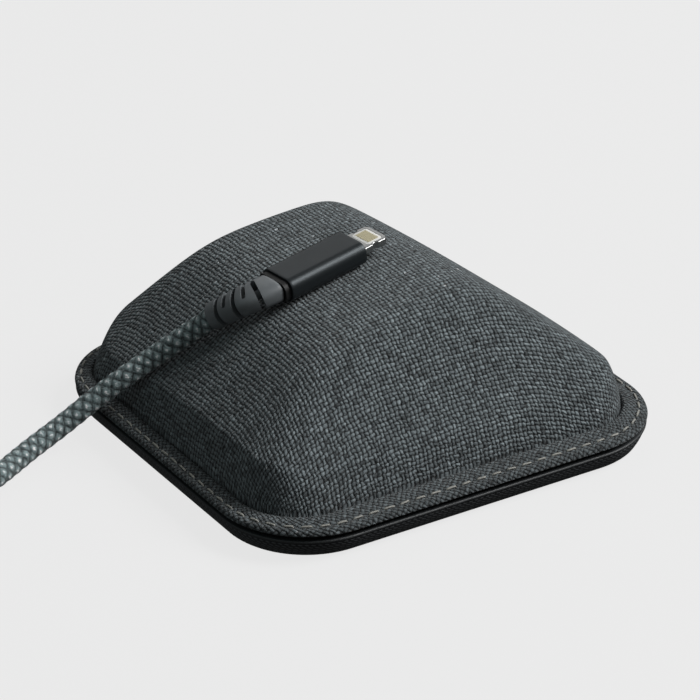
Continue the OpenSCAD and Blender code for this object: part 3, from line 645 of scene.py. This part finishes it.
def tab_outline(inset):
    back, tip = -5.9, 2.75
    middle, length = (back + tip) / 2, tip - back
    s = rounded(length - 2 * inset, tab_w - 2 * inset, 1.25 - inset, arcs=25, runs=80) + [middle, 0]
    notch = 0.45 * np.exp(-((s[:, 0] + 0.55) / 0.55) ** 6) * (np.abs(s[:, 1]) > tab_w / 2 - inset - 0.01)
    s[:, 1] -= np.sign(s[:, 1]) * notch
    return by_angle(s)


def window_outline(inset):
    return by_angle(rounded(window_l - 2 * inset, window_w - 2 * inset, 0.8 - inset, arcs=25, runs=60))


def flat_on_tab(outline, z):
    return in_plug(np.column_stack([outline[:, 0] + window_x, outline[:, 1], np.full(len(outline), z)]))


h = tab_t / 2
tab_rings = [flat_on_tab(o, z) for o, z in (
    (window_outline(0), h), (tab_outline(0.3), h), (tab_outline(0.12), h - 0.05), (tab_outline(0.03), h - 0.16),
    (tab_outline(0), h - 0.32), (tab_outline(0), 0.0), (tab_outline(0), -h + 0.32), (tab_outline(0.03), -h + 0.16),
    (tab_outline(0.12), -h + 0.05), (tab_outline(0.3), -h), (window_outline(0), -h), (window_outline(0), 0.0))]
t = material("tumbled stainless steel")
place = add(t, "ShaderNodeTexCoord").outputs["Object"]
lines = add(t, "ShaderNodeTexNoise", Vector=add(t, "ShaderNodeMapping", Vector=place, Scale=(1.0, 0.08, 1.0)),
            Scale=12000.0, Detail=2.0)
polish = add(t, "ShaderNodeMapRange", Value=lines, To_Min=0.3, To_Max=0.42)
bump = add(t, "ShaderNodeBump", Strength=0.1, Distance=0.00001, Height=lines)
stainless = shown(t, add(t, "ShaderNodeBsdfPrincipled", Base_Color=linear("#a9aaa9"), Metallic=1.0, Roughness=polish,
                         Normal=bump))
tab = piece("plug_tab_steel", skin("plug_tab_steel", tab_rings, closed=True, crisp=40), stainless)
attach(tab, "lead")
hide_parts("plug_tab")

# Insulator: white liquid crystal polymer moulded in the window, flush with the steel
block_rings = [flat_on_tab(window_outline(inset), z) for inset, z in (
    (1.9, h - 0.03), (0.12, h - 0.03), (0.04, h - 0.07), (0.03, h - 0.2), (0.03, -h + 0.2), (0.04, -h + 0.07),
    (0.12, -h + 0.03), (1.9, -h + 0.03))]
insulator = speckled("moulded liquid crystal polymer", "#e6e5e0", "#f3f2ee", 0.2, 0.42)
block_mesh = skin("contact_insulator", block_rings, crisp=40,
                  poles=[in_plug((window_x, 0, h - 0.03)), in_plug((window_x, 0, -h + 0.03))])
block = piece("contact_insulator", block_mesh, insulator)
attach(block, "lead")
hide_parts("contact_block")

# Contact pads: eight a side, thin sheet plated with dull pale gold, set side by side across the window
pad_l, pad_w, pad_pitch, pad_high = 2.7, 0.46, 0.5, 0.06
pad = bmesh.new()
bmesh.ops.create_cube(pad, size=1.0, matrix=Matrix.Diagonal((pad_l * MM, pad_w * MM, pad_high * MM, 1.0)))
upright_edges = [e for e in pad.edges if abs(e.verts[0].co.z - e.verts[1].co.z) > 1e-6]
bmesh.ops.bevel(pad, geom=upright_edges, offset=0.12 * MM, segments=2, affect="EDGES")
pad_mesh = bpy.data.meshes.new("one_pad")
pad.to_mesh(pad_mesh)
gold = speckled("dull gold plating", "#b3ab8d", "#cfc7a6", 0.6, 0.45, 0.4, 0.004)
one_pad = piece("one_pad", pad_mesh, gold)
laying, given, keys = pattern("contact row", Pitch="Float", Pad="Object")
shape = add(laying, "GeometryNodeObjectInfo", Object=given["Pad"]).outputs["Geometry"]
offset = add(laying, "ShaderNodeCombineXYZ", _1=given["Pitch"])
first = add(laying, "ShaderNodeVectorMath", "SCALE", _0=offset, Scale=-3.5)
rows = []
for side in (1, -1):
    start = add(laying, "ShaderNodeVectorMath", "ADD", _0=first, _1=(0, 0, side * h * MM))
    row = add(laying, "GeometryNodeMeshLine", {"mode": "OFFSET"}, Count=8, Start_Location=start, Offset=offset)
    rows.append(add(laying, "GeometryNodeInstanceOnPoints", Points=row, Instance=shape))
both = add(laying, "GeometryNodeJoinGeometry", Geometry=rows[0])
laying.links.new(rows[1].outputs[0], both.inputs[0])
pads = grown("contact_pads", laying, both, keys, {"Pitch": pad_pitch * MM, "Pad": one_pad}, gold)
bpy.data.objects.remove(one_pad)
pads.data.transform(Matrix.Translation(plug_mid * MM) @ plug_turn.to_4x4() @ Matrix.Translation((window_x * MM, 0, 0)))
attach(pads, "lead")
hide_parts("plug_contacts")


# ---- Lead --------------------------------------------------------------------------------------
# A round phone lead, 4.3 mm thick and 1.2 m long, in a sleeve braided from eight thick slate polyester
# yarns. It leaves the strain relief, runs down the left face and over the hem, and the rest is coiled.
cord_d = 4.3
cord_route = [(-28.6, 7.2, 27), (-30.2, 9, 24.7), (-34.4, 11.9, 20.8), (-38.5, 14.5, 17.1), (-43.2, 16.2, 13.9),
              (-47.8, 18, 10.4), (-50.9, 18.7, 8.3), (-56.1, 19.3, 5.2), (-63.7, 17.7, 3.1), (-72.3, 13.7, 2.3),
              (-81.5, 9, 2.4), (-91.7, 4.3, 2.85)]
tail_route = [(-137.2, 39.2, 7.6), (-136.1, 44.1, 8.7), (-134.3, 48.8, 10.2), (-131.3, 52.7, 11.6),
              (-126.8, 54.9, 12.5), (-122.4, 55.6, 13), (-118, 55.7, 13.05)]
coil_x, coil_y, coil_r, coil_inner = -105.6, 34.2, 33.0, 15.8
coil_start, low_z, high_z, climb = -65.0, 2.85, 7.15, 0.25       # climb is the share of a turn the step up takes
top_inner, top_pitch, top_count = 17.6, 4.295, 3.315


def through(points, sub):
    """Smooth curve through the points, with sub steps between each two."""
    p = np.array([points[0], *points, points[-1]], float)
    u = np.linspace(0, 1, sub + 1)[:-1, None]
    runs = [0.5 * (2 * b + (c - a) * u + (2 * a - 5 * b + 4 * c - d) * u ** 2 + (3 * b - a - 3 * c + d) * u ** 3)
            for a, b, c, d in zip(p, p[1:], p[2:], p[3:])]
    return np.concatenate(runs + [p[-1:]])


def evenly(path, gap):
    marks = marks_along(path)
    wanted = np.linspace(0, marks[-1], max(2, round(marks[-1] / gap)) + 1)
    return np.column_stack([np.interp(wanted, marks, path[:, k]) for k in range(3)])


def wound(turns, radii, heights):
    """Clockwise turns round the coil's middle."""
    a = np.radians(coil_start - 360 * turns)
    return np.column_stack([coil_x + radii * np.cos(a), coil_y + radii * np.sin(a), heights])


low_turns = np.linspace(0, 4, 4 * 96 + 1)
low = wound(low_turns, coil_r - cord_d * low_turns, np.full(len(low_turns), low_z))
top_turns = np.linspace(0, top_count, 3 * 96 + 31)[1:]
rise = np.clip(top_turns / climb, 0, 1)
rise = rise ** 2 * (3 - 2 * rise)
outward = top_inner + top_pitch * top_turns
top = wound(top_turns, coil_inner + (outward - coil_inner) * rise ** 1.5, low_z + (high_z - low_z) * rise)
shown_part = evenly(through(cord_route, 24), 0.3)
coiled_part = evenly(np.concatenate([low, top, through([tuple(top[-1])] + tail_route, 12)[1:]]), 0.9)
lead_path = np.concatenate([shown_part, coiled_part[1:]])


def frames(path):
    """Heading, and two sides that turn as little as they can, at each point of a path."""
    heads = np.gradient(path, axis=0)
    heads /= np.linalg.norm(heads, axis=1)[:, None]
    side = np.cross([0, 0, 1], heads[0])
    sides = []
    for head in heads:
        side = side - head * (side @ head)
        side = side / np.linalg.norm(side)
        sides.append(side)
    sides = np.array(sides)
    return heads, sides, np.cross(heads, sides)


carriers, braid_pitch, braid_relief = 4, 2.5, 0.13               # carriers is the number of yarns each way
round_steps = 40
_, sides, ups = frames(lead_path)
spin = -np.linspace(0, 2 * np.pi, round_steps + 1)
lead_rings, lead_uvs = [], []
for at, side, up, mark in zip(lead_path, sides, ups, marks_along(lead_path)):
    share, down = carriers * spin / (2 * np.pi), mark / braid_pitch
    swell = np.abs(np.sin(np.pi * (share + down)) * np.sin(np.pi * (share - down)))
    r = (cord_d / 2 - 0.03 - braid_relief * (1 - np.minimum(1, swell * 1.5)))[:, None]
    lead_rings.append((at + r * (np.cos(spin)[:, None] * side + np.sin(spin)[:, None] * up))[:-1])
    lead_uvs.append(np.column_stack([share, np.full(round_steps + 1, down)]))
lead_mesh = skin("braided_lead", lead_rings, poles=[lead_path[0], lead_path[-1]], uvs=lead_uvs)

# Braided polyester: fluffy slate-blue yarns that cross over and under, painted pale on top as highlight and black
# between as shade
t = material("braided polyester sleeve")
uv = add(t, "ShaderNodeUVMap", {"uv_map": "surface"})
at = add(t, "ShaderNodeSeparateXYZ", _0=uv)
lean_a, lean_b = (add(t, "ShaderNodeMath", way, _0=at.outputs[0], _1=at.outputs[1])
                  for way in ("ADD", "SUBTRACT"))
wave_a, wave_b = (add(t, "ShaderNodeMath", "SINE",
                      _0=add(t, "ShaderNodeMath", "MULTIPLY", _0=lean, _1=math.pi))
                  for lean in (lean_a, lean_b))
crossing = add(t, "ShaderNodeMath", "MULTIPLY", _0=wave_a, _1=wave_b)
swell = add(t, "ShaderNodeMath", "ABSOLUTE", _0=crossing)
a_on_top = add(t, "ShaderNodeMath", "GREATER_THAN", _0=crossing, _1=0.0)
plies_a, plies_b = (add(t, "ShaderNodeCombineXYZ", _0=one,
                        _1=add(t, "ShaderNodeMath", "MULTIPLY", _0=other, _1=0.28))
                    for one, other in ((lean_a, lean_b), (lean_b, lean_a)))
plies = add(t, "ShaderNodeMix", {"data_type": "VECTOR"}, _0=a_on_top, _4=plies_b, _5=plies_a).outputs[1]
strands = add(t, "ShaderNodeTexNoise", Vector=plies, Scale=7.0, Detail=3.0, Roughness=0.75)
fluff = add(t, "ShaderNodeTexNoise", Vector=add(t, "ShaderNodeTexCoord").outputs["Object"], Scale=1400.0,
            Detail=3.0, Roughness=0.7)
height = add(t, "ShaderNodeMath", "MULTIPLY_ADD", _0=strands, _1=1.5, _2=swell)
relief_and_painted_light = add(t, "ShaderNodeMath", "MULTIPLY_ADD", _0=fluff, _1=1.2, _2=height)
tones = add(t, "ShaderNodeValToRGB", _0=add(t, "ShaderNodeMath", "MULTIPLY", _0=relief_and_painted_light, _1=0.435))
ramp = tones.color_ramp
# From near black painted shade between the yarns to pale slate painted highlight on top, and painted white glints
# where single fibres catch the light
ramp.elements.new(0.9)
for spot, place, code in zip(ramp.elements, (0.5, 1.0, 1.0), ("#070b0c", "#a5b9bb", "#ffffff")):
    spot.position, spot.color = place, linear(code)
bump = add(t, "ShaderNodeBump", Strength=0.9, Distance=0.0003, Height=relief_and_painted_light)
braid = shown(t, add(t, "ShaderNodeBsdfPrincipled", Base_Color=tones, Roughness=0.78, IOR=1.55,
                     Specular_IOR_Level=0.35, Sheen_Weight=0.2, Sheen_Roughness=0.5, Normal=bump))
lead = piece("braided_lead", lead_mesh, braid)
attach(lead, "lead")
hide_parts("lead_cord", "lead_coil", "lead_tail")


# ---- Strain reliefs ----------------------------------------------------------------------------
# Soft black TPE boots moulded over the lead at both plugs. Cuts from alternate sides leave springy ribs
# round a solid core, and at the lead's end a thin rim stands round the braid.
slot_width, slot_depth = 1.0, 12


def faced_out(mesh):
    """Turns all faces of a closed mesh outwards."""
    built = bmesh.new()
    built.from_mesh(mesh)
    bmesh.ops.recalc_face_normals(built, faces=built.faces)
    built.to_mesh(mesh)
    built.free()
    return mesh


def boot_mesh(name, path, wide, high, first, pitch, count, core):
    """Tapered boot along a path in mm: wide and high give its size at both ends, first, pitch and count its cuts."""
    heads, sides, ups = frames(path)
    marks = marks_along(path)
    share = marks / marks[-1]
    a = -np.linspace(0, 2 * np.pi, 65)[:-1]
    c, s = np.cos(a), np.sin(a)

    def section(k, shrink, d=None):
        """Ring at one point of the path: the boot's own shape, or a round one d across."""
        if d:
            x, y = (d / 2 - shrink) * c, (d / 2 - shrink) * s
        else:
            w, h = wide[0] + (wide[1] - wide[0]) * share[k], high[0] + (high[1] - high[0]) * share[k]
            power = 2 / (3 - share[k])
            x = (w / 2 - shrink) * np.sign(c) * np.abs(c) ** power
            y = (h / 2 - shrink) * np.sign(s) * np.abs(s) ** power
        return path[k] + x[:, None] * sides[k] + y[:, None] * ups[k]

    last = len(path) - 1
    rings = [section(0, 0.35), section(0, 0.1) + heads[0] * 0.05, section(0, 0.0) + heads[0] * 0.2]
    rings += [section(k, 0.0) for k in range(1, last)]
    rings += [section(last, 0.02) - heads[last] * 0.1, section(last, 0.12), section(last, 0.0, cord_d + 0.5),
              section(last, 0.06, cord_d + 0.4) - heads[last] * 0.1, section(last, 0.0, cord_d + 0.2) - heads[last]]
    made = stood(name, faced_out(skin(name, rings, poles=[path[0], path[last] - heads[last]])))
    cuts = bmesh.new()
    for n in range(count):
        reach = first + n * pitch
        spot = np.array([np.interp(reach, marks, path[:, k]) for k in range(3)])
        k = int(np.clip(np.searchsorted(marks, reach), 1, last))
        w = wide[0] + (wide[1] - wide[0]) * reach / marks[-1]
        way = 1 if n % 2 == 0 else -1
        turn = Matrix((heads[k] * way, sides[k] * way, ups[k])).transposed().to_4x4()
        base = Matrix.Translation(spot * MM) @ turn
        long = w * 0.5 + w * 0.24                # a cut ends short of the far side, in a round bottom
        middle = Matrix.Translation((0, (w * 0.5 + 1 - long / 2 - 0.5) * MM, 0))
        size = Matrix.Diagonal((slot_width * MM, (long + 1) * MM, slot_depth * MM, 1))
        bmesh.ops.create_cube(cuts, size=1.0, matrix=base @ middle @ size)
        r = slot_width / 2 * MM * 0.995
        bmesh.ops.create_cone(cuts, cap_ends=True, segments=20, radius1=r, radius2=r, depth=slot_depth * MM,
                              matrix=base @ Matrix.Translation((0, (w * 0.5 - long) * MM, 0)))
    cut_mesh = bpy.data.meshes.new("cuts")
    cuts.to_mesh(cut_mesh)
    cutter = stood("cuts", cut_mesh)
    core_rings = [section(k, 0.0, core) for k in range(1, last - 3)]
    core_object = stood("core", faced_out(skin("core", core_rings, poles=[path[1], path[last - 4]])))
    for how, tool in (("DIFFERENCE", cutter), ("UNION", core_object)):
        step = made.modifiers.new(how, "BOOLEAN")
        step.operation, step.object, step.solver = how, tool, "EXACT"
        if how == "DIFFERENCE":
            step.use_self = True
    done = bpy.data.meshes.new_from_object(made.evaluated_get(bpy.context.evaluated_depsgraph_get()))
    for gone in (made, cutter, core_object):
        bpy.data.objects.remove(gone)
    done.name = name
    done.shade_smooth()
    done.set_sharp_from_angle(angle=math.radians(38))
    return done


# Soft thermoplastic elastomer: matt black with a fine spark-eroded grain; its mid-grey base colour is a painted sheen
t = material("moulded black TPE")
place = add(t, "ShaderNodeTexCoord").outputs["Object"]
grain = add(t, "ShaderNodeTexNoise", Vector=place, Scale=4200.0, Detail=3.0)
worn = add(t, "ShaderNodeTexNoise", Vector=place, Scale=260.0, Detail=4.0, Roughness=0.65)
polish = add(t, "ShaderNodeMapRange", Value=worn, To_Min=0.34, To_Max=0.52)
sheen_painted_elastomer = two_tone(t, worn, "#565a5c", "#7a7f82", grain, 0.25, 0.03, Roughness=polish, IOR=1.5,
                     Specular_IOR_Level=0.5)
begin = np.array(plug_mid - plug_turn @ Vector((nose + 1.35, 0, 0)))
axis = np.array(plug_turn @ Vector((1, 0, 0)))
boot_route = [begin - axis * 0.6, (-22.6, 1.2, 32.3), (-25.4, 3.2, 30.5), (-28.6, 7.2, 27)]
boot_path = evenly(np.concatenate([[begin], through(boot_route, 16)]), 0.55)
boot_shape = boot_mesh("plug_strain_relief", boot_path, (7.2, 5.8), (4.4, 5.2), 3.3, 1.95, 5, 1.9)
boot = piece("plug_strain_relief", boot_shape, sheen_painted_elastomer)
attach(boot, "lead")
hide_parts("plug_boot")
usb_at = (-104.95, 55.7, 13.05)
usb_boot_path = np.column_stack([np.linspace(usb_at[0] - 0.05, tail_route[-1][0], 25), np.full((25, 2), usb_at[1:])])
usb_boot_shape = boot_mesh("charger_strain_relief", usb_boot_path, (9.0, 6.0), (5.6, 5.2), 3.5, 1.8, 5, 2.5)
usb_boot = piece("charger_strain_relief", usb_boot_shape, sheen_painted_elastomer)
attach(usb_boot, "lead")
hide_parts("usb_boot")


# ---- Charger plug ------------------------------------------------------------------------------
# The far end's flat charger plug: a moulded black shell, a folded steel shroud with two latch holes and,
# inside it, a black tongue with four contacts. It lies on top of the coil.
usb_l, usb_w, usb_h, usb_r = 21.0, 15.4, 7.4, 2.2


def in_usb(ring):
    return np.array(ring) + usb_at


mouth = rounded(12.1, 4.6, 0.55)


def usb_section(inset):
    return rounded(usb_w - 2 * inset, usb_h - 2 * inset, usb_r - inset)


usb_rings = [upright(x, s) for x, s in (
    [(usb_l - 0.8, mouth), (usb_l - 0.03, mouth), (usb_l, mouth * 1.008), (usb_l, usb_section(0.5)),
     (usb_l - 0.03, usb_section(0.25)), (usb_l - 0.15, usb_section(0.08)), (usb_l - 0.4, usb_section(0.0))]
    + [(x, usb_section(0.0)) for x in np.linspace(usb_l - 1, 1, 10)]
    + [(0.4, usb_section(0.0)), (0.15, usb_section(0.08)), (0.03, usb_section(0.25)), (0.0, usb_section(0.5)),
       (0.0, usb_section(1.2))])]
usb_mesh = skin("charger_plug_shell", [in_usb(r)[::-1] for r in usb_rings], crisp=40,
                poles=[in_usb((usb_l - 0.8, 0, 0)), in_usb((0, 0, 0))])
usb_case = piece("charger_plug_shell", usb_mesh, speckled("moulded black ABS", "#17191a", "#242729", 0.12, 0.42))
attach(usb_case, "lead")
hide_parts("usb_shell")
finish_node("usb_shroud", stainless)
finish_node("usb_tongue", speckled("moulded black nylon", "#111213", "#1d1f20", 0.3, 0.5))
finish_node("usb_contacts", gold)
finish_node("usb_inner_mould", joint_black)


# ---- Cable tie ---------------------------------------------------------------------------------
# A strap of woven black hook-and-loop tape, 12 mm wide, pulled snug round one side of the coil and closed
# on itself. It runs as one band round the outermost of the turns that it holds.
tie_wide, tie_thick, tie_gap = 12.0, 0.6, 0.04
lean = np.linspace(0, 2 * np.pi, 97)[:-1]
facing = np.column_stack([np.cos(lean), np.sin(lean)])


def strap_loop(angle, off):
    """The strap's outline round the turns at one angle of the coil, off mm clear of them."""
    gone = ((coil_start - angle) % 360) / 360
    low_r = [coil_r - cord_d * (gone + k) for k in range(4)]
    high_r = [top_inner + top_pitch * (gone + k) for k in range(3)]
    middles = np.array([(r, low_z) for r in low_r] + [(r, high_z) for r in high_r])
    reach = middles[np.argmax(facing @ middles.T, axis=1)] + facing * (cord_d / 2 + off)
    a = math.radians(angle)
    return np.column_stack([coil_x + reach[:, 0] * math.cos(a), coil_y + reach[:, 0] * math.sin(a), reach[:, 1]])


tie_angles = np.linspace(0, math.degrees(tie_wide / coil_r), 9)
tie_rings = ([strap_loop(a, tie_gap + tie_thick * 0.98) for a in tie_angles]
             + [strap_loop(a, tie_gap) for a in tie_angles[::-1]])
t = material("woven hook-and-loop tape")
place = add(t, "ShaderNodeTexCoord").outputs["Object"]
loops = add(t, "ShaderNodeTexVoronoi", Vector=place, Scale=1500.0)
ribs = add(t, "ShaderNodeTexNoise", Vector=place, Scale=900.0, Detail=3.0)
tape = two_tone(t, ribs, "#0d0e0f", "#2c2f31", loops, 0.8, 0.2, Roughness=0.9, Specular_IOR_Level=0.2,
                Sheen_Weight=0.3)
tie_mesh = faced_out(skin("cable_tie_strap", tie_rings, closed=True))
tie_mesh.set_sharp_from_angle(angle=math.radians(50))
tie = piece("cable_tie_strap", tie_mesh, tape)
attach(tie, "lead")
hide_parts("cable_tie")
